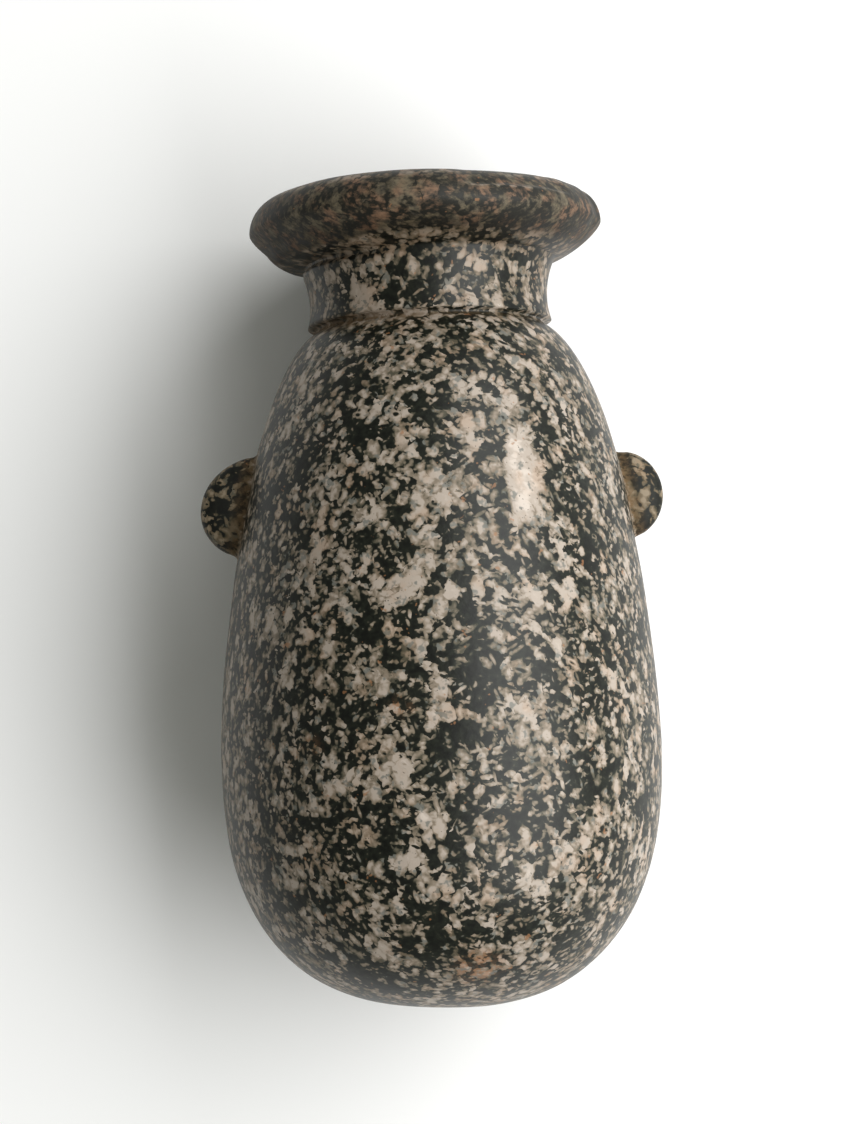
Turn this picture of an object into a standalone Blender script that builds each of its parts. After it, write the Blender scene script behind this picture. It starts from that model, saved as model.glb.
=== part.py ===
# Alabastron of speckled stone, lying on its side with its mouth towards +Y.
# One piece: body, neck, lip and both lugs are carved from a single block and hollowed from the mouth.
# Metres, +Z up, the ground at z = 0. Heights run along the vessel's own axis, from the tip of its base.

import math

import bmesh
import bpy
from mathutils import Matrix, Vector

# Body
BODY_HEIGHT = 0.1082
BELLY_RADIUS = 0.0351
BELLY_HEIGHT = 0.0406
BASE_SQUARENESS = (2.46, 2.50)  # exponents of the rounded base, along the axis and across it
BELLY_PULL = 0.0090  # how far the belly's tangent reaches upwards
SHOULDER_RADIUS = 0.0184
SHOULDER_SLOPE = math.radians(62)  # of the shoulder's tangent at the neck, from the axis
SHOULDER_PULL = 0.0144

# Neck, a waisted collar above a cut groove
NECK_HEIGHT = 0.0109
NECK_FOOT_RADIUS = 0.0196
NECK_WAIST_RADIUS = 0.0191
NECK_WAIST_HEIGHT = 0.0034
NECK_TOP_RADIUS = 0.0206
GROOVE_HEIGHT = 0.0010

# Lip, a broad disc with a sloping underside and a thick rounded edge
LIP_HEIGHT = 0.0109
LIP_RADIUS = 0.0284
LIP_SQUARENESS = 1.30  # of its underside: 1 is a plain cone, 2 a quarter round
LIP_EDGE_HEIGHT = 0.0052
LIP_EDGE_WIDTH = 0.0048
MOUTH_ROUNDING = 0.0012

# Walls of the hollow
BELLY_WALL = 0.0130
NECK_WALL = 0.0072
FLOOR_THICKNESS = 0.0140

# Neck and lip lean a little, as carved by hand
LEAN = math.radians(1.3)
LEAN_START = 0.0820
LEAN_PIVOT = 0.0870

# Flakes lost from the lip's edge: angle round the axis, half width, depth
LIP_FLAKES = (
    (math.radians(-48), math.radians(42), 0.0009),
    (math.radians(-13), math.radians(5), 0.0006),
)
FLAKE_LENGTH = 0.0104  # how far below the mouth face they fade out
FLAKE_INSET = 0.0072  # how far in from the lip's edge they reach

# Lugs, one on each side: side, height, half length along the wall, half width outwards,
# how far the middle lies inside the wall, and how far the outer end droops
LUGS = (
    (-1, 0.0801, 0.0080, 0.0093, 0.0019, math.radians(24)),
    (1, 0.0811, 0.0070, 0.0065, 0.0004, math.radians(-2)),
)
LUG_THICKNESS = 0.0070
LUG_ROUNDING = 0.0016
LUG_ROLL = math.radians(3.5)  # the pair is turned so much about the axis

# Small flats that keep it from rolling
FLAT_DEPTH = 0.0003

STONE_COLOUR = (0.12, 0.11, 0.10, 1)
STONE_ROUGHNESS = 0.35

# Mesh: segments round each turn, then steps along each stretch of the profile
SEGMENTS = 64
LUG_SEGMENTS = 40
LUG_ROUNDING_STEPS = 3
HOLLOW_SHOULDER_STEPS = 9
HOLLOW_BASE_STEPS = 7
MOUTH_STEPS = 3
LIP_STEPS = 5
NECK_STEPS = 6
SHOULDER_STEPS = 15
BASE_STEPS = 13
FINE_STEPS = 400  # points of a curve before it is spaced out evenly
REST_STEPS = 50  # halvings in the search for the resting tilt
SHARP_ANGLE = math.radians(40)


def clear_scene():
    for obj in list(bpy.data.objects):
        bpy.data.objects.remove(obj, do_unlink=True)


def new_collection(name):
    made = bpy.data.collections.new(name)
    bpy.context.scene.collection.children.link(made)
    return made


def spaced(points, steps):
    """The same line through steps + 1 points an equal distance apart."""
    lengths = [0.0]
    for a, b in zip(points, points[1:]):
        lengths.append(lengths[-1] + math.dist(a, b))
    line = []
    place = 0
    for i in range(steps):
        target = lengths[-1] * i / steps
        while lengths[place + 1] < target:
            place += 1
        share = (target - lengths[place]) / (lengths[place + 1] - lengths[place])
        (r1, z1), (r2, z2) = points[place], points[place + 1]
        line.append((r1 + (r2 - r1) * share, z1 + (z2 - z1) * share))
    return line + [points[-1]]


def base_curve(radius, height, floor, steps):
    """The rounded base: (radius, height) from the belly down to the axis, as a superellipse."""
    along, across = BASE_SQUARENESS
    points = []
    for i in range(FINE_STEPS):
        angle = math.pi / 2 * i / FINE_STEPS
        r = radius * math.cos(angle) ** (2 / across)
        z = height - (height - floor) * math.sin(angle) ** (2 / along)
        points.append((r, z))
    return spaced(points + [(0.0, floor)], steps)


def bezier(points, steps):
    """The points of one cubic Bezier curve, both ends included."""
    a, b, c, d = (Vector(p) for p in points)
    curve = []
    for i in range(steps + 1):
        t = i / steps
        u = 1 - t
        p = u**3 * a + 3 * u * u * t * b + 3 * u * t * t * c + t**3 * d
        curve.append((p.x, p.y))
    return curve


def shoulder_curve(top_radius, radius, steps):
    """From the neck down over the shoulder to the belly. The hollow's is the same, to its own radii."""
    share = (radius - top_radius) / (BELLY_RADIUS - SHOULDER_RADIUS)
    pull = SHOULDER_PULL * share
    under_neck = (
        top_radius + pull * math.sin(SHOULDER_SLOPE),
        BODY_HEIGHT - pull * math.cos(SHOULDER_SLOPE),
    )
    over_belly = (radius, BELLY_HEIGHT + BELLY_PULL)
    ends = ((top_radius, BODY_HEIGHT), under_neck, over_belly, (radius, BELLY_HEIGHT))
    return spaced(bezier(ends, FINE_STEPS), steps)


def neck_curve(steps):
    """The collar's waisted side, from under the lip down to its foot."""
    height = NECK_HEIGHT - GROOVE_HEIGHT
    foot = BODY_HEIGHT + GROOVE_HEIGHT
    points = []
    for i in range(steps + 1):
        above = height * (1 - i / steps)
        if above > NECK_WAIST_HEIGHT:
            share = (above - NECK_WAIST_HEIGHT) / (height - NECK_WAIST_HEIGHT)
            flare = NECK_TOP_RADIUS - NECK_WAIST_RADIUS
        else:
            share = 1 - above / NECK_WAIST_HEIGHT
            flare = NECK_FOOT_RADIUS - NECK_WAIST_RADIUS
        points.append((NECK_WAIST_RADIUS + flare * share**2, foot + above))
    return points


def lip_curve(steps):
    """The lip's rounded edge from the mouth face outwards, then its sloping underside to the neck."""
    face = BODY_HEIGHT + NECK_HEIGHT + LIP_HEIGHT
    widest = face - LIP_EDGE_HEIGHT
    under = widest - (BODY_HEIGHT + NECK_HEIGHT)
    overhang = LIP_RADIUS - NECK_TOP_RADIUS
    points = []
    for i in range(steps + 1):
        angle = math.pi / 2 * (1 - i / steps)
        points.append(
            (
                LIP_RADIUS - LIP_EDGE_WIDTH * (1 - math.cos(angle)),
                widest + LIP_EDGE_HEIGHT * math.sin(angle),
            )
        )
    power = 2 / LIP_SQUARENESS
    for i in range(1, steps):
        angle = math.pi / 2 * i / steps
        points.append(
            (
                NECK_TOP_RADIUS + overhang * math.cos(angle) ** power,
                widest - under * math.sin(angle) ** power,
            )
        )
    return points


def mouth_curve(bore, steps):
    """The rounded edge between the bore and the flat mouth face."""
    face = BODY_HEIGHT + NECK_HEIGHT + LIP_HEIGHT
    points = []
    for i in range(steps + 1):
        angle = math.pi / 2 * i / steps
        points.append(
            (
                bore + MOUTH_ROUNDING * (1 - math.cos(angle)),
                face - MOUTH_ROUNDING * (1 - math.sin(angle)),
            )
        )
    return points


def vessel_profile():
    """(radius, height) from the hollow's floor up the inside, over the lip and down the outside."""
    bore = NECK_WAIST_RADIUS - NECK_WALL
    hollow = BELLY_RADIUS - BELLY_WALL
    inside = shoulder_curve(bore, hollow, HOLLOW_SHOULDER_STEPS)
    inside += base_curve(hollow, BELLY_HEIGHT, FLOOR_THICKNESS, HOLLOW_BASE_STEPS)[1:]
    outside = lip_curve(LIP_STEPS) + neck_curve(NECK_STEPS)
    outside += [(SHOULDER_RADIUS, BODY_HEIGHT + GROOVE_HEIGHT / 2)]
    outside += shoulder_curve(SHOULDER_RADIUS, BELLY_RADIUS, SHOULDER_STEPS)
    outside += base_curve(BELLY_RADIUS, BELLY_HEIGHT, 0.0, BASE_STEPS)[1:]
    return inside[::-1] + mouth_curve(bore, MOUTH_STEPS) + outside


def turned(name, profile, collection):
    """A solid of revolution about Z, as a mesh."""
    mesh = bpy.data.meshes.new(name)
    mesh.from_pydata(
        [(r, 0, z) for r, z in profile], [(i, i + 1) for i in range(len(profile) - 1)], []
    )
    obj = bpy.data.objects.new(name, mesh)
    collection.objects.link(obj)
    screw = obj.modifiers.new("turn", "SCREW")
    screw.axis = "Z"
    screw.angle = math.tau
    screw.steps = screw.render_steps = SEGMENTS
    screw.use_merge_vertices = True
    screw.merge_threshold = 0.00001
    return obj


def freeze(obj):
    """Puts what the modifiers make into the object's own mesh."""
    graph = bpy.context.evaluated_depsgraph_get()
    made = bpy.data.meshes.new_from_object(obj.evaluated_get(graph))
    old = obj.data
    obj.modifiers.clear()
    obj.data = made
    bpy.data.meshes.remove(old)
    made.name = obj.name


def smooth_step(value, low, high):
    t = min(1.0, max(0.0, (value - low) / (high - low)))
    return t * t * (3 - 2 * t)


def lean(mesh):
    """Leans the neck and lip towards -X, easing in over the shoulder."""
    pivot = Vector((0, 0, LEAN_PIVOT))
    for vertex in mesh.vertices:
        share = smooth_step(vertex.co.z, LEAN_START, BODY_HEIGHT)
        turn = Matrix.Rotation(-LEAN * share, 3, "Y")
        vertex.co = pivot + turn @ (vertex.co - pivot)


def flake(mesh):
    """Takes the shallow flakes off the lip's outer edge."""
    face = BODY_HEIGHT + NECK_HEIGHT + LIP_HEIGHT
    low = face - FLAKE_LENGTH
    for vertex in mesh.vertices:
        radius = vertex.co.xy.length
        if vertex.co.z < low or radius < LIP_RADIUS - FLAKE_INSET:
            continue
        angle = math.atan2(vertex.co.y, vertex.co.x)
        for centre, half_width, depth in LIP_FLAKES:
            off = abs(angle - centre) / half_width
            if off < 1:
                share = smooth_step(1 - off, 0, 0.5) * smooth_step(vertex.co.z, low, face)
                vertex.co.xy *= 1 - depth * share / radius


def outer_radius(profile, height):
    """The vessel's outer radius at a height on its body."""
    top = max(profile, key=lambda p: p[1])
    outside = profile[profile.index(top) :]
    for (r1, z1), (r2, z2) in zip(outside, outside[1:]):
        if z2 <= height <= z1 and z1 > z2:
            return r2 + (r1 - r2) * (height - z2) / (z1 - z2)
    return BELLY_RADIUS


def lug(name, profile, sizes, collection):
    """A rounded half disc that stands on the wall, its plane along the axis."""
    side, height, half_length, half_width, inset, droop = sizes
    bm = bmesh.new()
    bmesh.ops.create_cone(
        bm, cap_ends=True, segments=LUG_SEGMENTS, radius1=1, radius2=1, depth=1
    )
    bmesh.ops.scale(bm, verts=bm.verts, vec=(half_width, half_length, LUG_THICKNESS))
    rims = [e for e in bm.edges if abs(e.verts[0].co.z - e.verts[1].co.z) < 1e-6]
    bmesh.ops.bevel(
        bm,
        geom=rims,
        offset=LUG_ROUNDING,
        offset_type="OFFSET",
        affect="EDGES",
        segments=LUG_ROUNDING_STEPS,
        profile=0.5,
        material=-1,
    )
    wall = outer_radius(profile, height)
    stand = Matrix.Rotation(side * droop, 4, "Y") @ Matrix.Rotation(math.pi / 2, 4, "X")
    place = Matrix.Translation((side * (wall - inset), 0, height))
    roll = Matrix.Rotation(LUG_ROLL, 4, "Z")
    bmesh.ops.transform(bm, matrix=roll @ place @ stand, verts=bm.verts)
    bmesh.ops.recalc_face_normals(bm, faces=bm.faces)
    mesh = bpy.data.meshes.new(name)
    bm.to_mesh(mesh)
    bm.free()
    obj = bpy.data.objects.new(name, mesh)
    collection.objects.link(obj)
    return obj


def rest_tilt(profile):
    """The angle at which the belly and the lip both touch the ground."""
    body = [p for p in profile if p[1] <= BODY_HEIGHT]
    lip = [p for p in profile if p[1] > BODY_HEIGHT + NECK_HEIGHT]

    def reach(points, angle):
        return max(r * math.cos(angle) + z * math.sin(angle) for r, z in points)

    low, high = -math.pi / 4, math.pi / 4
    for _ in range(REST_STEPS):
        middle = (low + high) / 2
        if reach(body, middle) > reach(lip, middle):
            low = middle
        else:
            high = middle
    return middle


def helper(obj):
    obj.hide_render = True
    obj.display_type = "WIRE"


def combine(obj, other, operation):
    modifier = obj.modifiers.new(other.name, "BOOLEAN")
    modifier.operation = operation
    modifier.solver = "EXACT"
    modifier.object = other
    helper(other)


def world_corners(obj):
    graph = bpy.context.evaluated_depsgraph_get()
    evaluated = obj.evaluated_get(graph)
    mesh = evaluated.to_mesh()
    points = [obj.matrix_world @ v.co for v in mesh.vertices]
    evaluated.to_mesh_clear()
    low = Vector(min(p[i] for p in points) for i in range(3))
    high = Vector(max(p[i] for p in points) for i in range(3))
    return low, high


def ground_block(collection):
    """Everything below the ground, which cuts the two flats."""
    size = 4 * (BODY_HEIGHT + NECK_HEIGHT + LIP_HEIGHT)
    bm = bmesh.new()
    bmesh.ops.create_cube(bm, size=size)
    mesh = bpy.data.meshes.new("ground")
    bm.to_mesh(mesh)
    bm.free()
    obj = bpy.data.objects.new("ground", mesh)
    obj.location.z = -size / 2
    collection.objects.link(obj)
    return obj


def stone_material():
    material = bpy.data.materials.new("speckled_stone")
    material.use_nodes = True
    shader = material.node_tree.nodes["Principled BSDF"]
    shader.inputs["Base Color"].default_value = STONE_COLOUR
    shader.inputs["Roughness"].default_value = STONE_ROUGHNESS
    shader.inputs["Metallic"].default_value = 0.0
    material.diffuse_color = STONE_COLOUR
    return material


def lay_down(obj, lugs, profile, collection):
    """Turns the vessel onto its side, resting on belly and lip, over the middle of its own box."""
    tilt = Matrix.Rotation(-(math.pi / 2 + rest_tilt(profile)), 4, "X")
    for piece in (obj, *lugs):
        piece.matrix_world = tilt
    bpy.context.view_layer.update()
    lowest = world_corners(obj)[0].z
    for piece in (obj, *lugs):
        piece.location.z = -FLAT_DEPTH - lowest
    for piece in lugs:
        combine(obj, piece, "UNION")
    combine(obj, ground_block(collection), "DIFFERENCE")
    bpy.context.view_layer.update()
    low, high = world_corners(obj)
    for piece in (obj, *lugs):
        piece.location.x -= (low.x + high.x) / 2
        piece.location.y -= (low.y + high.y) / 2


def main():
    clear_scene()
    parts = new_collection("alabastron")
    cutters = new_collection("cutters")
    profile = vessel_profile()
    vessel = turned("alabastron", profile, parts)
    freeze(vessel)
    flake(vessel.data)
    lean(vessel.data)
    lugs = [
        lug(f"lug_{number}", profile, sizes, cutters)
        for number, sizes in enumerate(LUGS, 1)
    ]
    lay_down(vessel, lugs, profile, cutters)
    vessel.data.materials.append(stone_material())
    vessel.data.shade_smooth()
    vessel.data.set_sharp_from_angle(angle=SHARP_ANGLE)


main()
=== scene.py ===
# A stone alabastron, lying on a white table under soft light from its right.
import math

import bmesh
import bpy
from mathutils import Matrix, Vector, kdtree, noise


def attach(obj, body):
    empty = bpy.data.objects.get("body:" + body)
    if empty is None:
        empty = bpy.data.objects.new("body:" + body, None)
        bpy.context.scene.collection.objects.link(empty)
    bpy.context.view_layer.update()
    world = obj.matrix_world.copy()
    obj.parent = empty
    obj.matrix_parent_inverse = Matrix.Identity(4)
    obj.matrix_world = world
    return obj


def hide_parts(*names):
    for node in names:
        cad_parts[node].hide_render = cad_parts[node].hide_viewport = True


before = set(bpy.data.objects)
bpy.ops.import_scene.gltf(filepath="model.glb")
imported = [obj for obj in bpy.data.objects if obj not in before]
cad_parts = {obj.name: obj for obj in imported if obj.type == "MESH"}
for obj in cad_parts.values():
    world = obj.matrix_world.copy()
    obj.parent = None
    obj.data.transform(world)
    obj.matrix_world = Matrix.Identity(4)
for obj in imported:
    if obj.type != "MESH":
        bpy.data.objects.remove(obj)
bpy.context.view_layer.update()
print("frame loaded")


cameraView = {
    "place": (-0.00195, 0.00505, 0.5777),
    "turn": math.radians(-1.15),
    "lens": 108.9,
    "sensor": 36.0,
}


def makeCamera():
    data = bpy.data.cameras.new("camera")
    data.sensor_width = cameraView["sensor"]
    data.lens = cameraView["lens"]
    data.clip_start = 0.01
    camera = bpy.data.objects.new("camera", data)
    camera.location = cameraView["place"]
    camera.rotation_euler.z = cameraView["turn"]
    bpy.context.scene.collection.objects.link(camera)
    bpy.context.scene.camera = camera


makeCamera()
print("camera placed")

# lengths in metres, heights along the vessel's own axis from the tip of its base
vesselShape = {
    "bodyHeight": 0.1082,
    "bellyRadius": 0.0351,
    "bellyHeight": 0.0406,
    "baseAlong": 2.46,
    "baseAcross": 2.50,
    "bellyPull": 0.0090,
    "shoulderRadius": 0.0184,
    "shoulderSlope": math.radians(62),
    "shoulderPull": 0.0144,
    "neckHeight": 0.0109,
    "neckFootRadius": 0.0196,
    "neckWaistRadius": 0.0191,
    "neckWaistHeight": 0.0034,
    "neckTopRadius": 0.0206,
    "grooveHeight": 0.0010,
    "grooveRadius": 0.0182,
    "grooveLine": ((0.0004, 0.0003), (0.0, 0.0), (0.0001, -0.0003)),  # points from its middle
    "lipHeight": 0.0109,
    "lipRadius": 0.0284,
    "lipSquareness": 1.30,
    "lipEdgeHeight": 0.0052,
    "lipEdgeWidth": 0.0048,
    "mouthRounding": 0.0012,
    "bellyWall": 0.0130,
    "neckWall": 0.0072,
    "floorThickness": 0.0140,
    "lean": math.radians(1.3),
    "leanStart": 0.0820,
    "leanPivot": 0.0870,
    "turns": 240,
    "fineSteps": 600,
    "mouthSteps": 6,
    # how far apart the line's points are inside, on the face, lip, neck and body
    "spacing": {"inside": 0.0018, "face": 0.0016, "lip": 0.00036, "neck": 0.0006, "body": 0.0009},
    "weld": 1e-6,
}

# how it lies: tilt below level and where the base tip comes to be
restingPlace = {
    "tilt": math.radians(4.7522),
    "shift": (0.000645, -0.065622, 0.0383417),
}


def spacedLine(points, spacing):
    lengths = [0.0]
    for a, b in zip(points, points[1:]):
        lengths.append(lengths[-1] + math.dist(a, b))
    steps = max(2, round(lengths[-1] / spacing))
    line = []
    place = 0
    for i in range(steps):
        target = lengths[-1] * i / steps
        while lengths[place + 1] < target:
            place += 1
        share = (target - lengths[place]) / (lengths[place + 1] - lengths[place])
        (r1, z1), (r2, z2) = points[place], points[place + 1]
        line.append((r1 + (r2 - r1) * share, z1 + (z2 - z1) * share))
    return line + [points[-1]]


def baseCurve(radius, floorHeight):
    s = vesselShape
    points = []
    for i in range(s["fineSteps"]):
        angle = math.pi / 2 * i / s["fineSteps"]
        r = radius * math.cos(angle) ** (2 / s["baseAcross"])
        z = s["bellyHeight"] - (s["bellyHeight"] - floorHeight) * math.sin(angle) ** (2 / s["baseAlong"])
        points.append((r, z))
    return points + [(0.0, floorHeight)]


def shoulderCurve(topRadius, radius):
    s = vesselShape
    share = (radius - topRadius) / (s["bellyRadius"] - s["shoulderRadius"])
    pull = s["shoulderPull"] * share
    a = Vector((topRadius, s["bodyHeight"]))
    b = a + pull * Vector((math.sin(s["shoulderSlope"]), -math.cos(s["shoulderSlope"])))
    d = Vector((radius, s["bellyHeight"]))
    c = d + Vector((0, s["bellyPull"]))
    points = []
    for i in range(s["fineSteps"] + 1):
        t = i / s["fineSteps"]
        u = 1 - t
        p = u**3 * a + 3 * u * u * t * b + 3 * u * t * t * c + t**3 * d
        points.append((p.x, p.y))
    return points


def neckCurve():
    s = vesselShape
    height = s["neckHeight"] - s["grooveHeight"]
    foot = s["bodyHeight"] + s["grooveHeight"]
    points = []
    for i in range(s["fineSteps"] + 1):
        above = height * (1 - i / s["fineSteps"])
        if above > s["neckWaistHeight"]:
            share = (above - s["neckWaistHeight"]) / (height - s["neckWaistHeight"])
            flare = s["neckTopRadius"] - s["neckWaistRadius"]
        else:
            share = 1 - above / s["neckWaistHeight"]
            flare = s["neckFootRadius"] - s["neckWaistRadius"]
        points.append((s["neckWaistRadius"] + flare * share**2, foot + above))
    return points


def lipCurve():
    s = vesselShape
    face = mouthHeight()
    widest = face - s["lipEdgeHeight"]
    under = widest - (s["bodyHeight"] + s["neckHeight"])
    overhang = s["lipRadius"] - s["neckTopRadius"]
    points = []
    for i in range(s["fineSteps"]):
        angle = math.pi / 2 * (1 - i / s["fineSteps"])
        r = s["lipRadius"] - s["lipEdgeWidth"] * (1 - math.cos(angle))
        points.append((r, widest + s["lipEdgeHeight"] * math.sin(angle)))
    power = 2 / s["lipSquareness"]
    for i in range(s["fineSteps"]):
        angle = math.pi / 2 * i / s["fineSteps"]
        r = s["neckTopRadius"] + overhang * math.cos(angle) ** power
        points.append((r, widest - under * math.sin(angle) ** power))
    return points + [(s["neckTopRadius"], widest - under)]


def mouthCurve(bore):
    s = vesselShape
    face = mouthHeight()
    points = []
    for i in range(s["mouthSteps"] + 1):
        angle = math.pi / 2 * i / s["mouthSteps"]
        r = bore + s["mouthRounding"] * (1 - math.cos(angle))
        points.append((r, face - s["mouthRounding"] * (1 - math.sin(angle))))
    return points


def vesselProfile():
    s = vesselShape
    spacing = s["spacing"]
    bore = s["neckWaistRadius"] - s["neckWall"]
    hollow = s["bellyRadius"] - s["bellyWall"]
    inside = spacedLine(shoulderCurve(bore, hollow), spacing["inside"])
    inside += spacedLine(baseCurve(hollow, s["floorThickness"]), spacing["inside"])[1:]
    boreLine = spacedLine([(bore, s["bodyHeight"]), mouthCurve(bore)[0]], spacing["inside"])[1:]
    outside = spacedLine([mouthCurve(bore)[-1], lipCurve()[0]], spacing["face"])[1:-1]
    outside += spacedLine(lipCurve(), spacing["lip"])
    outside += spacedLine(neckCurve(), spacing["neck"])[1:]
    groove = s["bodyHeight"] + s["grooveHeight"] / 2
    outside += [(s["grooveRadius"] + out, groove + up) for out, up in s["grooveLine"]]
    outside += spacedLine(shoulderCurve(s["shoulderRadius"], s["bellyRadius"]), spacing["body"])
    outside += spacedLine(baseCurve(s["bellyRadius"], 0.0), spacing["body"])[1:]
    return inside[::-1] + boreLine[:-1] + mouthCurve(bore) + outside


def smoothStep(value, low, high):
    t = min(1.0, max(0.0, (value - low) / (high - low)))
    return t * t * (3 - 2 * t)


def degreesFrom(co, centre):
    angle = math.degrees(math.atan2(co.y, co.x)) - centre
    return (angle + 180) % 360 - 180


def sideShare(co, centre, halfWidth, fade):
    # full on that side, fading to nothing over the last share of the half width
    return smoothStep(1 - abs(degreesFrom(co, centre)) / halfWidth, 0, fade)


def mouthHeight():
    return sum(vesselShape[part] for part in ("bodyHeight", "neckHeight", "lipHeight"))


def spinVessel():
    bm = bmesh.new()
    line = [bm.verts.new((r, 0, z)) for r, z in vesselProfile()]
    edges = [bm.edges.new(pair) for pair in zip(line, line[1:])]
    bmesh.ops.spin(
        bm,
        geom=line + edges,
        cent=(0, 0, 0),
        axis=(0, 0, 1),
        angle=math.tau,
        steps=vesselShape["turns"],
        use_merge=True,
        use_duplicate=False,
    )
    bmesh.ops.remove_doubles(bm, verts=bm.verts, dist=vesselShape["weld"])
    bmesh.ops.recalc_face_normals(bm, faces=bm.faces)
    return bm


# hand work and wear: broad unevenness, then flakes off the lip as angle, half width, depth
wear = {
    "waves": ((0.022, 0.00022), (0.008, 0.00007)),
    "lipFlakes": ((-48, 42, 0.0009), (-13, 5, 0.0006)),
    "flakeLength": 0.0104,
    "flakeInset": 0.0072,
    "flakeFade": 0.5,
    # a shallow ledge where a flake ran under the lip's upper edge: angle, half width, foot, depth
    "ledge": (-56, 25, 0.1269, 0.00060),
    "ledgeRamp": 0.0003,
    "ledgeFade": 0.3,
    "ledgeWander": (0.003, 0.0004),
    # crease under the lip, cut deepest on one side: angle, half width, depth, swell beside it
    "crease": (-165, 80, 0.0012, 0.0009),
    "creaseFade": 0.6,
    "creaseWander": (0.004, 0.0003),
    "creaseReach": 0.004,
    "creaseCut": (0.0003, 0.0011, 0.0001),  # how far under the lip's foot, its reach and its flat
    "creaseSwell": (0.0006, 0.0010, 0.0032),  # heights where it is full, begins to fade, and ends
    "creaseInset": 0.001,
}


def wearVessel(bm):
    bm.normal_update()
    moves = []
    for vert in bm.verts:
        push = 0.0
        for size, depth in wear["waves"]:
            push += depth * noise.noise(vert.co / size)
        moves.append(vert.normal * push)
    for vert, move in zip(bm.verts, moves):
        vert.co += move


def flakeLip(bm):
    face = mouthHeight()
    low = face - wear["flakeLength"]
    for vert in bm.verts:
        radius = vert.co.xy.length
        if vert.co.z < low or radius < vesselShape["lipRadius"] - wear["flakeInset"]:
            continue
        for centre, halfWidth, depth in wear["lipFlakes"]:
            share = sideShare(vert.co, centre, halfWidth, wear["flakeFade"])
            share *= smoothStep(vert.co.z, low, face)
            vert.co.xy *= 1 - depth * share / radius


def cutLedge(bm):
    centre, halfWidth, foot, depth = wear["ledge"]
    size, wander = wear["ledgeWander"]
    for vert in bm.verts:
        if vert.co.z < foot or vert.co.xy.length < vesselShape["neckTopRadius"]:
            continue
        start = foot + wander * noise.noise(vert.co / size)
        share = sideShare(vert.co, centre, halfWidth, wear["ledgeFade"])
        share *= smoothStep(vert.co.z, start, start + wear["ledgeRamp"])
        vert.co.xy *= 1 - depth * share / vert.co.xy.length


def cutCrease(bm):
    s = vesselShape
    line = s["bodyHeight"] + s["neckHeight"]
    centre, halfWidth, depth, swell = wear["crease"]
    size, wander = wear["creaseWander"]
    cutBelow, cutReach, cutFlat = wear["creaseCut"]
    swellStart, swellFull, swellTop = wear["creaseSwell"]
    innermost = s["neckWaistRadius"] - wear["creaseInset"]
    for vert in bm.verts:
        radius = vert.co.xy.length
        if abs(vert.co.z - line) > wear["creaseReach"] or radius < innermost:
            continue
        side = sideShare(vert.co, centre, halfWidth, wear["creaseFade"])
        above = vert.co.z - line - wander * noise.noise(vert.co / size)
        cut = smoothStep(-abs(above + cutBelow), -cutReach, -cutFlat)
        bulge = smoothStep(above, 0.0, swellStart) * smoothStep(-above, -swellTop, -swellFull)
        vert.co.xy *= 1 + side * (swell * bulge - depth * cut) / radius


def leanNeck(bm):
    s = vesselShape
    pivot = Vector((0, 0, s["leanPivot"]))
    for vert in bm.verts:
        share = smoothStep(vert.co.z, s["leanStart"], s["bodyHeight"])
        vert.co = pivot + Matrix.Rotation(-s["lean"] * share, 3, "Y") @ (vert.co - pivot)


# the lugs: side, height, half length, half width, how far inside the wall, droop of the outer end
lugShape = {
    "left": (-1, 0.0801, 0.0080, 0.0093, 0.0019, math.radians(24)),
    "right": (1, 0.0811, 0.0070, 0.0065, 0.0004, math.radians(-2)),
    "thickness": 0.0070,
    "squareness": 3.4,
    "segments": (72, 36),  # round its edge and from face to face
    "roll": math.radians(3.5),
    "root": 0.0013,  # how far the softened root reaches
    "softening": 8,
    "refined": 0.5,  # the body's mesh is finer up to so far round a lug, as a share of its size
    "near": 0.024,  # nothing of the lugs is nearer the axis
    "heights": (0.060, 0.100),  # or outside these heights
    "seam": (0.012, 0.0005),  # how closely a point has to lie on the lug and on the body
}


lugSides = ("left", "right")


def outerRadius(height):
    line = shoulderCurve(vesselShape["shoulderRadius"], vesselShape["bellyRadius"])
    for (r1, z1), (r2, z2) in zip(line, line[1:]):
        if z2 <= height <= z1:
            return r2 + (r1 - r2) * (height - z2) / (z1 - z2)
    return vesselShape["bellyRadius"]


def lugMatrix(side):
    sign, height, halfLength, halfWidth, inset, droop = lugShape[side]
    stand = Matrix.Rotation(sign * droop, 4, "Y") @ Matrix.Rotation(math.pi / 2, 4, "X")
    place = Matrix.Translation((sign * (outerRadius(height) - inset), 0, height))
    scale = Matrix.Diagonal((halfWidth, halfLength, lugShape["thickness"] / 2, 1))
    return Matrix.Rotation(lugShape["roll"], 4, "Z") @ place @ stand @ scale


def makeLug(side):
    bm = bmesh.new()
    around, across = lugShape["segments"]
    bmesh.ops.create_uvsphere(bm, u_segments=around, v_segments=across, radius=1)
    power = 2 / lugShape["squareness"]
    for vert in bm.verts:
        out = vert.co.xy.length
        up = vert.co.z
        vert.co.z = math.copysign(abs(up) ** power, up)
        if out > 1e-6:
            vert.co.xy *= out**power / out
    bmesh.ops.transform(bm, matrix=lugMatrix(side), verts=bm.verts)
    bmesh.ops.recalc_face_normals(bm, faces=bm.faces)
    return bm


def meshObject(bm, name):
    mesh = bpy.data.meshes.new(name)
    bm.to_mesh(mesh)
    bm.free()
    obj = bpy.data.objects.new(name, mesh)
    bpy.context.scene.collection.objects.link(obj)
    return obj


def lugDistance(point, inverse):
    p = inverse @ point
    n = lugShape["squareness"]
    return (p.xy.length ** n + abs(p.z) ** n) ** (1 / n) - 1


def toLugs(point, inverses):
    return min(lugDistance(point, inverse) for inverse in inverses)


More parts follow.
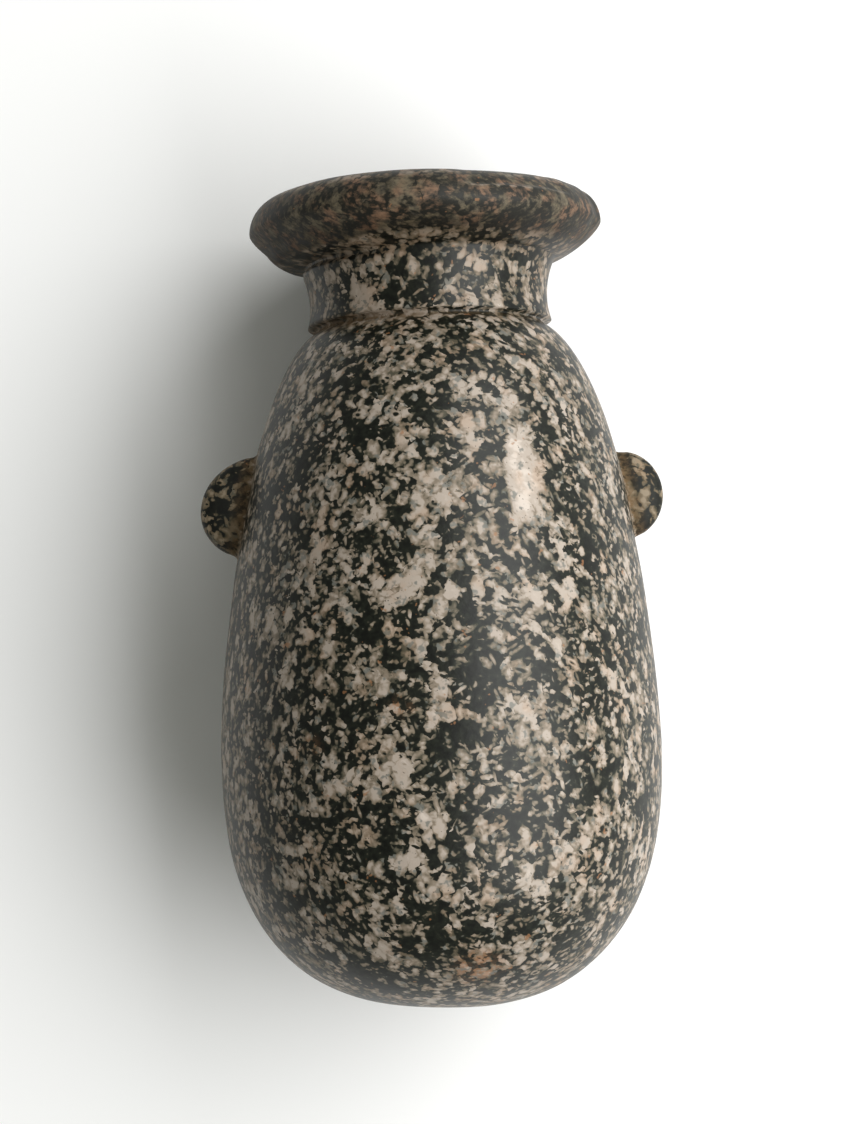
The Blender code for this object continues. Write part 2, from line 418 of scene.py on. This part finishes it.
def besideLugs(co):
    low, high = lugShape["heights"]
    return low < co.z < high and co.xy.length > lugShape["near"]


def refineAroundLugs(bm):
    near = []
    inverses = [lugMatrix(side).inverted() for side in lugSides]
    for edge in bm.edges:
        middle = (edge.verts[0].co + edge.verts[1].co) / 2
        if middle.xy.length < lugShape["near"]:
            continue
        if toLugs(middle, inverses) < lugShape["refined"]:
            near.append(edge)
    bmesh.ops.subdivide_edges(bm, edges=near, cuts=1, use_grid_fill=True)


def joinLugs(vessel):
    for side in lugSides:
        lug = meshObject(makeLug(side), side + "Lug")
        union = vessel.modifiers.new(side, "BOOLEAN")
        union.operation = "UNION"
        union.solver = "EXACT"
        union.object = lug
    graph = bpy.context.evaluated_depsgraph_get()
    joined = bpy.data.meshes.new_from_object(vessel.evaluated_get(graph))
    for union in list(vessel.modifiers):
        bpy.data.objects.remove(union.object)
    vessel.modifiers.clear()
    vessel.data = joined
    joined.name = vessel.name


def seamPoints(bm):
    found = []
    onLug, onBody = lugShape["seam"]
    for side in lugSides:
        inverse = lugMatrix(side).inverted()
        for vert in bm.verts:
            if not besideLugs(vert.co) or abs(lugDistance(vert.co, inverse)) > onLug:
                continue
            if abs(vert.co.xy.length - outerRadius(vert.co.z)) < onBody:
                found.append(vert.co.copy())
    tree = kdtree.KDTree(len(found))
    for i, point in enumerate(found):
        tree.insert(point, i)
    tree.balance()
    return tree


def softenRoots(bm, seam):
    soft = [v for v in bm.verts if besideLugs(v.co) and seam.find(v.co)[2] < lugShape["root"]]
    axes = {"use_axis_x": True, "use_axis_y": True, "use_axis_z": True}
    for _ in range(lugShape["softening"]):
        bmesh.ops.smooth_vert(bm, verts=soft, factor=0.5, **axes)


def layDown(bm):
    turn = Matrix.Rotation(-(math.pi / 2 + restingPlace["tilt"]), 4, "X")
    bmesh.ops.transform(bm, matrix=Matrix.Translation(restingPlace["shift"]) @ turn, verts=bm.verts)
    for vert in bm.verts:
        vert.co.z = max(0.0, vert.co.z)


# soft masks kept on the mesh for the material
maskNames = ("film", "shadeBand", "dirtAndShade", "rough", "rust", "bias")

# crystals and dark patches that stand out: angle round the axis in degrees, height, half length,
# half width, turn in degrees, strength
standouts = (
    (-64, 0.0828, 0.0064, 0.0028, 0, 1.5),
    (-66, 0.0765, 0.0024, 0.0016, 0, 1.0),
    (-100, 0.0643, 0.0056, 0.0021, 60, 0.7),
    (-93, 0.0716, 0.0036, 0.0017, 12, 0.55),
    (-91, 0.0801, 0.0025, 0.0022, 30, 0.55),
    (-110, 0.0759, 0.0018, 0.0027, -15, 0.6),
    (-65, 0.0643, 0.0024, 0.0020, 0, 0.55),
    (-54, 0.0636, 0.0029, 0.0014, 25, 0.6),
    (-92, 0.0440, 0.0027, 0.0017, 10, 0.55),
    (-100, 0.0377, 0.0015, 0.0030, 0, 0.55),
    (-114, 0.0356, 0.0030, 0.0016, 55, 0.6),
    (-93, 0.0301, 0.0022, 0.0020, 0, 0.5),
    (-100, 0.0228, 0.0015, 0.0030, 0, 0.6),
    (-67, 0.0198, 0.0036, 0.0016, -30, 0.6),
    (-71, 0.0459, 0.0026, 0.0034, 0, 0.5),
    (-65, 0.0928, 0.0027, 0.0020, 0, 0.55),
    (-50, 0.0989, 0.0020, 0.0020, 0, 0.5),
    (-123, 0.1114, 0.0020, 0.0020, 0, 0.6),
    (-59, 0.1129, 0.0014, 0.0014, 0, 0.6),
    (-98, 0.1267, 0.0014, 0.0020, 20, 0.9),
    (-106, 0.1221, 0.0012, 0.0020, -20, 0.9),
    (-113, 0.1196, 0.0007, 0.0028, -8, 0.6),
    (-89, 0.0413, 0.0041, 0.0022, 10, -0.35),
    (-44, 0.0696, 0.0039, 0.0026, 0, -0.35),
    (-80, 0.0502, 0.0034, 0.0025, 0, -0.35),
    (-108, 0.0589, 0.0030, 0.0025, 0, -0.45),
    (-71, 0.0280, 0.0026, 0.0020, 0, -0.35),
    (-121, 0.0060, 0.0030, 0.0040, 0, -0.4),
)
standoutReach = 0.012  # no stand-out crystal reaches so far along the axis

# where dirt and stains gathered, and where shade and highlights are painted: angle round the axis in
# degrees, height, half length, half width
stains = {
    "spotFade": (-1.3, -0.5),  # a spot starts at 1.3 of its half lengths and is full at a half
    # the lip's brown film: its start and fade, then those on the creased side
    "film": (0.1197, 0.0021, 0.1196, 0.0005),
    "filmSide": (-150, 55, 0.6),  # that side, its half width and its fade
    "rim": (0.0016, 0.45),  # how far down from the mouth's face the film is thinned as a painted highlight, and how much
    # a painted highlight along the ledge's foot, where the film thins: its reach and how much
    "ledgeHighlight": (0.0004, 0.6),
    "clearPatch": (-113, 0.1196, 0.0007, 0.0028),
    # darker neck, and painted shade under the lip's overhang: from the neck's foot, more under the lip,
    # none from there up
    "shadeBand": (0.1080, 0.1100, 0.1165, 0.1190, 0.1212, 0.1232),
    "neckShare": 0.45,  # how much of it the neck has
    # brown dirt in the groove, with painted shade on its darker side: height, reach, the darker side,
    # its half width and fade, then the shares of the reach and of the darkening that are left opposite
    "groove": (0.1082, 0.0011, -165, 110, 0.8),
    "grooveOpposite": (0.5, 0.35),
    # duller lugs: how far out from the body it starts, and its fade round them
    "lugMargin": 0.0003,
    "lugFade": (-0.12, 0.02),
    "rootDirt": 0.0022,  # how far dirt reaches from the lugs' roots
    "rust": (
        (-78, 0.0070, 0.0028, 0.0042),
        (-100, 0.0466, 0.0014, 0.0020),
        (-124, 0.0410, 0.0016, 0.0018),
    ),
    "boreMargin": 0.002,  # the bore is left clean up to so far past its radius
}


def spotShare(co, spot):
    angle, height, halfLength, halfWidth, turn = spot
    across = math.radians(degreesFrom(co, angle)) * co.xy.length
    along = co.z - height
    c, s = math.cos(math.radians(turn)), math.sin(math.radians(turn))
    a = (along * c + across * s) / halfLength
    b = (across * c - along * s) / halfWidth
    return smoothStep(-math.hypot(a, b), *stains["spotFade"])


def biasAt(co):
    total = 0.0
    for *spot, strength in standouts:
        if abs(co.z - spot[1]) < standoutReach:
            total += strength * spotShare(co, spot)
    return total


def dirtAndShadeAt(co, seam):
    height, reach, *darkerSide = stains["groove"]
    oppositeReach, oppositeDirtAndShade = stains["grooveOpposite"]
    # the groove's brown dirt with painted shade, darkest on its shaded side
    side = sideShare(co, *darkerSide)
    dirtAndShade = smoothStep(-abs(co.z - height), -reach * (oppositeReach + side), 0)
    dirtAndShade *= oppositeDirtAndShade + (1 - oppositeDirtAndShade) * side
    if besideLugs(co):
        dirtAndShade = max(dirtAndShade, 1 - seam.find(co)[2] / stains["rootDirt"])
    return dirtAndShade


def filmAt(co):
    start, fade, creaseStart, creaseFade = stains["film"]
    side = sideShare(co, *stains["filmSide"])
    start += (creaseStart - start) * side
    fade += (creaseFade - fade) * side
    film = smoothStep(co.z, start, start + fade)
    face = mouthHeight()
    # painted highlight along the mouth's edge: the film thins there
    reach, highlightShare = stains["rim"]
    film *= 1 - highlightShare * smoothStep(co.z, face - reach, face - reach / 2)
    # painted highlight along the ledge's foot: the film thins there too
    centre, halfWidth, foot, _ = wear["ledge"]
    reach, highlightShare = stains["ledgeHighlight"]
    side = sideShare(co, centre, halfWidth, wear["ledgeFade"])
    film *= 1 - highlightShare * side * smoothStep(-abs(co.z - foot), -reach, 0)
    return film * (1 - spotShare(co, (*stains["clearPatch"], 0)))


def paintMasks(bm, seam):
    s = vesselShape
    layers = {name: bm.verts.layers.float.new(name) for name in maskNames}
    inverses = [lugMatrix(side).inverted() for side in lugSides]
    clean = s["neckWaistRadius"] - s["neckWall"] + stains["boreMargin"]
    neck, low, shadeBand, high, lip, top = stains["shadeBand"]
    neckShare = stains["neckShare"]
    for vert in bm.verts:
        co = vert.co
        if co.xy.length < clean and co.z > s["bellyHeight"]:
            continue
        vert[layers["film"]] = filmAt(co)
        # darker neck, and painted shade under the lip's overhang
        lipShade = neckShare * smoothStep(co.z, neck, low) + (1 - neckShare) * smoothStep(co.z, shadeBand, high)
        vert[layers["shadeBand"]] = lipShade * (1 - smoothStep(co.z, lip, top))
        vert[layers["dirtAndShade"]] = dirtAndShadeAt(co, seam)
        vert[layers["bias"]] = biasAt(co)
        vert[layers["rust"]] = max(spotShare(co, (*spot, 0)) for spot in stains["rust"])
        if besideLugs(co) and co.xy.length > outerRadius(co.z) + stains["lugMargin"]:
            vert[layers["rough"]] = smoothStep(-toLugs(co, inverses), *stains["lugFade"])


def makeVessel():
    bm = spinVessel()
    wearVessel(bm)
    flakeLip(bm)
    cutLedge(bm)
    cutCrease(bm)
    refineAroundLugs(bm)
    vessel = meshObject(bm, "vessel")
    joinLugs(vessel)
    bm = bmesh.new()
    bm.from_mesh(vessel.data)
    bmesh.ops.remove_doubles(bm, verts=bm.verts, dist=vesselShape["weld"])
    seam = seamPoints(bm)
    softenRoots(bm, seam)
    paintMasks(bm, seam)
    leanNeck(bm)
    layDown(bm)
    bm.to_mesh(vessel.data)
    bm.free()
    vessel.data.shade_smooth()
    return vessel


vessel = makeVessel()
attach(vessel, "root")
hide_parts("alabastron")
print("vessel made,", len(vessel.data.polygons), "faces")

# sizes in millimetres, colours as linear light
stoneLook = {
    # pale crystals: size, stretch, turn, share of the cells that hold one, reach in its cell
    "crystals": (
        (2.1, 1.7, (0.1, 0.2, 0.15), 0.60, 0.58),
        (1.4, 2.3, (0.3, 0.2, 0.80), 0.64, 0.60),
        (1.4, 2.3, (-0.2, 0.4, 2.50), 0.60, 0.60),
        (0.80, 1.9, (0.2, 0.1, 1.50), 0.56, 0.62),
    ),
    "leastReach": -0.15,  # of a layer's smallest crystals; those below nought don't show
    # how far noise bends them, and the noise's size, detail and roughness, given so from here on
    "warp": (1.0, 1.1, 1.0, 0.6),
    # thin pale and dark blades across them, in the same terms, and how sharply they show
    "laths": ((0.80, 4.0, (0.1, 0.2, 0.35), 0.36, 0.46), (0.80, 4.0, (0.3, -0.2, 2.1), 0.30, 0.46)),
    "lathGain": 1.6,
    "darkLaths": (0.75, 3.5, (0.2, 0.1, 1.25), 0.25, 0.36),
    "darkLathGain": -3.0,
    "lathWarp": (0.5, 1.8, 1.0, 0.6),
    "more": 0.11,  # millimetres added all round
    "ragNoise": (1.05, 1.0, 0.45),
    "rag": 1.35,
    "ragTone": 1.2,
    "clusterNoise": (6.5, 1.0),
    "clusterSquash": (1.0, 0.55, 1.0),
    "cluster": 0.75,
    "edge": 0.09,  # half the width over which dark turns pale
    "depth": 0.85,  # how far inside a crystal is palest
    "toneSpread": 0.9,
    "mottleSize": 1.0,
    "mottle": 0.8,
    # from and to what depth each paler tone comes in
    "pinkDepth": (-0.22, 0.30),
    "creamDepth": (0.20, 0.85),
    "brightDepth": (1.2, 2.4),
    # patches: the noise, then from and to what value they come in, and their shares there
    "greyNoise": (1.7, 2.0, 0.7),
    "greyRange": (0.56, 0.66, 0.0, 0.8),
    "rustRange": (0.31, 0.26, 0.0, 0.6),
    "warmNoise": (5.0, 3.0, 0.6),
    "warmRange": (0.50, 0.68, 0.0, 0.8),
    "speckNoise": (0.45, 1.0),
    "speckRange": (0.24, 0.29, 0.75, 0.0),
    "darkRange": (-0.3, 0.9),
    "bright": (0.50, 0.44, 0.385, 1),
    "cream": (0.37, 0.318, 0.270, 1),
    "pink": (0.205, 0.168, 0.126, 1),
    "rim": (0.078, 0.071, 0.049, 1),
    "grey": (0.145, 0.15, 0.135, 1),
    "warm": (1.0, 0.90, 0.82, 1),
    "black": (0.0035, 0.0042, 0.0022, 1),
    "darkGreen": (0.015, 0.0175, 0.011, 1),
    "rust": (0.29, 0.145, 0.068, 1),
    "specular": 0.42,
    "roughness": (0.40, 0.48),  # of the dark and the pale stone
    "rougher": {"dirtAndShade": 0.3, "rough": 0.2, "film": 0.12},
    "bump": (0.8, 0.00004, 0.6),  # size, then depth in metres and strength
}

# what lies on the stone: a darker neck with painted shade under the lip, duller lugs, brown film with
# painted highlights where it thins, brown dirt with painted shade in the groove, and rust
coatLook = {
    "filmDark": (0.014, 0.013, 0.009, 1),
    "filmRed": (0.215, 0.126, 0.076, 1),
    "filmGreen": (0.140, 0.116, 0.074, 1),
    "filmShare": 0.94,
    "streakNoise": (1.0, 3.0, 0.7),
    "streakSquash": (0.7, 1.0, 1.6),
    "showThrough": 0.10,  # how much of the crystals shows in the film
    "paleRange": (0.42, 0.92),
    "redNoise": (3.4, 1.0),
    "redRange": (0.42, 0.62),
    # the darker neck and the painted shade under the lip
    "shadeBand": (0.62, 0.58, 0.52, 1),
    "lug": (0.68, 0.64, 0.53, 1),
    # brown dirt, and painted shade in the groove
    "dirtAndShade": (0.145, 0.096, 0.050, 1),
    "patchNoise": (1.1, 3.0, 0.65),
    "dirtAndShadeRange": (0.40, 0.60, 0.25, 0.95),
    "rustRange": (0.44, 0.54, 0.03, 0.62),
    "rustOnDark": 0.25,
}


def addNode(tree, kind, values=None, **settings):
    node = tree.nodes.new(kind)
    for name, value in settings.items():
        setattr(node, name, value)
    for key, value in (values or {}).items():
        if isinstance(value, bpy.types.NodeSocket):
            tree.links.new(value, node.inputs[key])
        else:
            node.inputs[key].default_value = value
    return node


def calc(tree, operation, a, b=0.0, c=0.0):
    return addNode(tree, "ShaderNodeMath", {0: a, 1: b, 2: c}, operation=operation).outputs[0]


def vary(tree, value, swing, amount):
    # adds what swings to both sides of a half
    return calc(tree, "MULTIPLY_ADD", calc(tree, "SUBTRACT", swing, 0.5), amount, value)


def ramp(tree, value, low, high, toLow=0.0, toHigh=1.0):
    values = {"Value": value, "From Min": low, "From Max": high, "To Min": toLow, "To Max": toHigh}
    return addNode(tree, "ShaderNodeMapRange", values, interpolation_type="SMOOTHSTEP").outputs["Result"]


def blendColours(tree, share, first, second, blendType="MIX"):
    values = {0: share, 6: first, 7: second}
    return addNode(tree, "ShaderNodeMix", values, data_type="RGBA", blend_type=blendType).outputs[2]


def noiseValue(tree, place, size, detail=2.0, roughness=0.5, output="Fac"):
    values = {"Vector": place, "Scale": 1 / size, "Detail": detail, "Roughness": roughness}
    return addNode(tree, "ShaderNodeTexNoise", values).outputs[output]


def scaled(tree, place, scale):
    return addNode(tree, "ShaderNodeMapping", {"Vector": place, "Scale": scale}).outputs[0]


def warped(tree, place, amount, size, detail, roughness):
    swing = noiseValue(tree, place, size, detail, roughness, "Color")
    steps = {"SUBTRACT": {1: (0.5, 0.5, 0.5)}, "SCALE": {"Scale": amount}, "ADD": {1: place}}
    for operation, values in steps.items():
        values[0] = swing
        swing = addNode(tree, "ShaderNodeVectorMath", values, operation=operation).outputs[0]
    return swing


def crystalsAlong(tree, place, size, stretch, turn, share, reach):
    # how far a point is inside a pale crystal, in millimetres, and the crystal's own tone
    values = {"Vector": place, "Rotation": turn, "Scale": (size, size * stretch, size)}
    turned = addNode(tree, "ShaderNodeMapping", values, vector_type="TEXTURE").outputs[0]
    cells = addNode(tree, "ShaderNodeTexVoronoi", {"Vector": turned, "Scale": 1.0})
    chance, tone, _ = addNode(tree, "ShaderNodeSeparateColor", {0: cells.outputs["Color"]}).outputs
    radius = ramp(tree, chance, 1 - share, 1.0, stoneLook["leastReach"], reach)
    inside = calc(tree, "SUBTRACT", radius, cells.outputs["Distance"])
    return calc(tree, "MULTIPLY", inside, size), tone


def crystalField(tree, place, rag, bias):
    # above nought in the pale crystals, below it in the dark ground between them
    look = stoneLook
    finePlace = warped(tree, place, *look["warp"])
    crystals = [crystalsAlong(tree, finePlace, *crystal) for crystal in look["crystals"]]
    field = crystals[0][0]
    for inside, _ in crystals[1:]:
        field = calc(tree, "MAXIMUM", field, inside)
    cluster = noiseValue(tree, scaled(tree, place, look["clusterSquash"]), *look["clusterNoise"])
    field = vary(tree, vary(tree, field, rag, look["rag"]), cluster, look["cluster"])
    field = calc(tree, "ADD", field, look["more"])
    lathPlace = warped(tree, place, *look["lathWarp"])
    for lath in look["laths"]:
        inside, _ = crystalsAlong(tree, lathPlace, *lath)
        field = calc(tree, "MAXIMUM", field, calc(tree, "MULTIPLY", inside, look["lathGain"]))
    inside, _ = crystalsAlong(tree, lathPlace, *look["darkLaths"])
    field = calc(tree, "MINIMUM", field, calc(tree, "MULTIPLY", inside, look["darkLathGain"]))
    tone = calc(tree, "MULTIPLY_ADD", crystals[0][1], 0.5, calc(tree, "MULTIPLY", crystals[1][1], 0.5))
    return calc(tree, "ADD", field, bias), tone


def stoneColour(tree, place, rag, field, depth, pale):
    look = stoneLook
    colour = look["rim"]
    for name in ("pink", "cream", "bright"):  # palest deep inside a crystal
        colour = blendColours(tree, ramp(tree, depth, *look[name + "Depth"]), colour, look[name])
    greyPatch = noiseValue(tree, place, *look["greyNoise"])
    colour = blendColours(tree, ramp(tree, greyPatch, *look["greyRange"]), colour, look["grey"])
    warmth = ramp(tree, noiseValue(tree, place, *look["warmNoise"]), *look["warmRange"])
    colour = blendColours(tree, warmth, colour, look["warm"], "MULTIPLY")
    specks = ramp(tree, noiseValue(tree, place, *look["speckNoise"]), *look["speckRange"])
    colour = blendColours(tree, specks, colour, look["darkGreen"])
    darkTone = calc(tree, "MULTIPLY_ADD", rag, look["ragTone"], field)
    darkTone = ramp(tree, darkTone, *look["darkRange"])
    darkColour = blendColours(tree, darkTone, look["black"], look["darkGreen"])
    return blendColours(tree, pale, darkColour, colour), ramp(tree, greyPatch, *look["rustRange"])


def coated(tree, place, colour, rustSpots, depth, pale, masks):
    look = coatLook
    patches = noiseValue(tree, place, *look["patchNoise"])
    colour = blendColours(tree, masks["rough"], colour, look["lug"], "MULTIPLY")
    filmPale = noiseValue(tree, scaled(tree, place, look["streakSquash"]), *look["streakNoise"])
    for shown in (depth, pale):
        filmPale = calc(tree, "MULTIPLY_ADD", shown, look["showThrough"], filmPale)
    filmPale = ramp(tree, filmPale, *look["paleRange"])
    reddish = ramp(tree, noiseValue(tree, place, *look["redNoise"]), *look["redRange"])
    filmColour = blendColours(tree, reddish, look["filmGreen"], look["filmRed"])
    filmColour = blendColours(tree, filmPale, look["filmDark"], filmColour)
    film = calc(tree, "MULTIPLY", masks["film"], look["filmShare"])
    colour = blendColours(tree, film, colour, filmColour)
    # darker neck, and painted shade under the lip's overhang
    colour = blendColours(tree, masks["shadeBand"], colour, look["shadeBand"], "MULTIPLY")
    # brown dirt at the lugs' roots and in the groove, with painted shade in the groove on its darker
    # side
    dirtAndShade = calc(tree, "MULTIPLY", masks["dirtAndShade"], ramp(tree, patches, *look["dirtAndShadeRange"]))
    colour = blendColours(tree, dirtAndShade, colour, look["dirtAndShade"])
    rust = calc(tree, "MULTIPLY", masks["rust"], ramp(tree, patches, *look["rustRange"]))
    rust = calc(tree, "MULTIPLY", rust, ramp(tree, pale, 0.0, 1.0, look["rustOnDark"], 1.0))
    rust = calc(tree, "MAXIMUM", rust, rustSpots)
    return blendColours(tree, rust, colour, stoneLook["rust"])


def stoneMaterial():
    look = stoneLook
    material = bpy.data.materials.new("speckledStone")
    material.use_nodes = True
    tree = material.node_tree
    shader = tree.nodes["Principled BSDF"]
    metres = addNode(tree, "ShaderNodeTexCoord").outputs["Object"]
    place = scaled(tree, metres, (1000.0, 1000.0, 1000.0))  # in millimetres
    masks = {}
    for name in maskNames:
        masks[name] = addNode(tree, "ShaderNodeAttribute", attribute_name=name).outputs["Fac"]

    rag = noiseValue(tree, place, *look["ragNoise"])
    field, tone = crystalField(tree, place, rag, masks["bias"])
    pale = ramp(tree, field, -look["edge"], look["edge"])
    depth = vary(tree, calc(tree, "DIVIDE", field, look["depth"]), tone, look["toneSpread"])
    depth = vary(tree, depth, noiseValue(tree, place, look["mottleSize"]), look["mottle"])
    colour, rustSpots = stoneColour(tree, place, rag, field, depth, pale)
    colour = coated(tree, place, colour, rustSpots, depth, pale, masks)
    tree.links.new(colour, shader.inputs["Base Color"])

    shader.inputs["Specular IOR Level"].default_value = look["specular"]
    roughness = ramp(tree, pale, 0.0, 1.0, *look["roughness"])
    for name, amount in look["rougher"].items():
        roughness = calc(tree, "MULTIPLY_ADD", masks[name], amount, roughness)
    tree.links.new(roughness, shader.inputs["Roughness"])

    size, distance, strength = look["bump"]
    values = {"Height": noiseValue(tree, place, size), "Distance": distance, "Strength": strength}
    tree.links.new(addNode(tree, "ShaderNodeBump", values).outputs[0], shader.inputs["Normal"])
    return material


vessel.data.materials.clear()
vessel.data.materials.append(stoneMaterial())
print("stone made")

studio = {
    "tableSize": 3.0,
    "tableDrop": 0.00005,
    "tableColour": (0.88, 0.88, 0.88, 1),
    "tableRoughness": 0.8,
    "skyColour": (0.98, 1.0, 0.93, 1),
    "skyStrength": 0.28,
}


def makeTable():
    bm = bmesh.new()
    bmesh.ops.create_grid(bm, x_segments=1, y_segments=1, size=studio["tableSize"] / 2)
    bmesh.ops.translate(bm, vec=(0, 0, -studio["tableDrop"]), verts=bm.verts)
    table = meshObject(bm, "table")
    material = bpy.data.materials.new("whiteTable")
    material.use_nodes = True
    shader = material.node_tree.nodes["Principled BSDF"]
    shader.inputs["Base Color"].default_value = studio["tableColour"]
    shader.inputs["Roughness"].default_value = studio["tableRoughness"]
    table.data.materials.append(material)


# each light: where it stands, what it looks at, width, height, power
softLights = {
    "window": ((0.425, 0.04, 0.515), (0, 0, 0.03), 1.40, 0.62, 8.7),
}


def makeLights():
    world = bpy.data.worlds.new("room")
    bpy.context.scene.world = world
    world.use_nodes = True
    background = world.node_tree.nodes["Background"]
    background.inputs["Color"].default_value = studio["skyColour"]
    background.inputs["Strength"].default_value = studio["skyStrength"]
    for name, (place, target, width, height, power) in softLights.items():
        data = bpy.data.lights.new(name, "AREA")
        data.shape = "RECTANGLE"
        data.size = width
        data.size_y = height
        data.energy = power
        light = bpy.data.objects.new(name, data)
        light.location = place
        light.rotation_euler = (Vector(target) - Vector(place)).to_track_quat("-Z", "Y").to_euler()
        bpy.context.scene.collection.objects.link(light)


makeTable()
makeLights()
bpy.context.scene.view_settings.view_transform = "Standard"
bpy.context.scene.view_settings.look = "Medium High Contrast"
print("table and light made")
